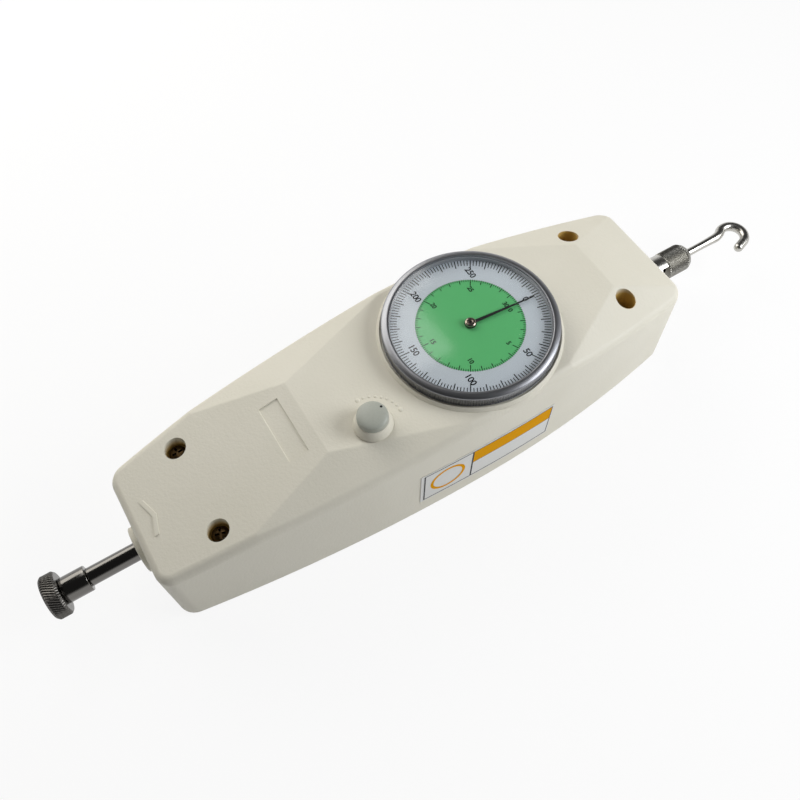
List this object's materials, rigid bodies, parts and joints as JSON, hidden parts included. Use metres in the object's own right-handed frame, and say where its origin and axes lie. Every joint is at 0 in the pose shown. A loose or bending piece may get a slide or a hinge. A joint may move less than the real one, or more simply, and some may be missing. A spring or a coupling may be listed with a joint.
{
  "type": "push-pull force gauge",
  "caption": "Hand-held dial force gauge: long faceted plastic housing, turning bezel with a round dial, selector knob, push disc at one end and pull hook at the other.",
  "frame": {"origin": "on the flat back, at the middle of the housing's length and width", "axes": "+X along the shaft towards the hook, +Y to the far side, +Z out of the dial"},
  "size_m": [0.2772, 0.0606, 0.0503],
  "materials": {
    "housing_plastic": "ivory, fine texture",
    "knob_grey": "satin grey",
    "label_film": "silver-white printed film",
    "polished_steel": "polished",
    "knurled_steel": "knurled",
    "bezel_steel": "satin",
    "screw_steel": "plain",
    "spring_steel": "tempered",
    "brass": "machined",
    "chassis_aluminium": "machined",
    "dial_print": "printed, matt",
    "pointer_black": "matt black",
    "spacer_plastic": "matt",
    "window": "clear"
  },
  "bodies": {
    "housing": {"front_housing": "housing_plastic", "rear_cover": "housing_plastic", "side_label": "label_film", "push_nose_bush": "housing_plastic", "pull_nose_bush": "housing_plastic", "cover_screw_1": "screw_steel", "cover_screw_2": "screw_steel", "cover_screw_3": "screw_steel", "cover_screw_4": "screw_steel", "chassis": "chassis_aluminium", "chassis_screw_1": "screw_steel", "chassis_screw_2": "screw_steel", "chassis_screw_3": "screw_steel", "chassis_screw_4": "screw_steel", "stand_insert_1": "brass", "stand_insert_2": "brass", "push_guide_bush": "brass", "pull_guide_bush": "brass", "main_spring": "spring_steel", "lower_plate": "brass", "upper_plate": "brass", "movement_post_1": "brass", "movement_post_2": "brass", "movement_post_3": "brass", "movement_screw_1": "screw_steel", "movement_screw_2": "screw_steel", "movement_screw_3": "screw_steel", "arbor_bush": "brass", "hairspring": "spring_steel", "pawl_pivot_screw": "brass", "pawl_spring": "spring_steel"},
    "shaft": {"main_shaft": "polished_steel", "preload_nut": "screw_steel", "spring_seat": "screw_steel", "rack_block": "polished_steel", "rack_set_screw": "screw_steel", "stop_collar": "screw_steel", "push_adapter": "polished_steel", "push_disc": "knurled_steel", "pull_coupling": "polished_steel", "hook_nut": "knurled_steel", "hook": "polished_steel"},
    "gear_train": {"gear_arbor": "screw_steel", "large_gear": "brass", "ratchet_wheel": "screw_steel"},
    "pointer": {"pointer_arbor": "screw_steel", "pointer": "pointer_black", "pointer_cap": "brass"},
    "dial": {"bezel": "bezel_steel", "crystal": "window", "crystal_spacer": "spacer_plastic", "dial_face": "dial_print", "dial_carrier": "chassis_aluminium", "carrier_snap_ring": "spring_steel"},
    "selector": {"selector_knob": "housing_plastic", "selector_cap": "knob_grey", "selector_shaft": "screw_steel", "selector_clip": "spring_steel"},
    "pawl": {"pawl_lever": "screw_steel"}
  },
  "joints": [
    {"name": "shaft_slide", "type": "slide", "parent": "housing", "child": "shaft", "axis": [1, 0, 0], "range_m": [0, 0.01], "stiffness_N_per_m": 2000, "deforming": ["main_spring"]},
    {"name": "gear_turn", "type": "hinge", "parent": "housing", "child": "gear_train", "pos_m": [0.01203, 0.009, 0.017], "axis": [0, 0, 1], "range_deg": [0, 114.6]},
    {"name": "pointer_turn", "type": "hinge", "parent": "housing", "child": "pointer", "pos_m": [0.0234, 0, 0.03], "axis": [0, 0, 1], "range_deg": [-360.2, 0]},
    {"name": "dial_turn", "type": "hinge", "parent": "housing", "child": "dial", "pos_m": [0.0234, 0, 0.046], "axis": [0, 0, 1], "continuous": true},
    {"name": "selector_turn", "type": "hinge", "parent": "housing", "child": "selector", "pos_m": [-0.02, -0.013, 0.04], "axis": [0, 0, 1], "range_deg": [0, 90]},
    {"name": "pawl_swing", "type": "hinge", "parent": "housing", "child": "pawl", "pos_m": [0.003, -0.005, 0.032], "axis": [0, 0, 1], "range_deg": [-4, 0]}
  ],
  "couplings": [
    {"joint": "gear_turn", "follows": "shaft_slide", "rad_per_m": 200},
    {"joint": "pointer_turn", "follows": "shaft_slide", "rad_per_m": -628.57},
    {"joint": "pawl_swing", "follows": "selector_turn", "ratio": -0.0444}
  ]
}
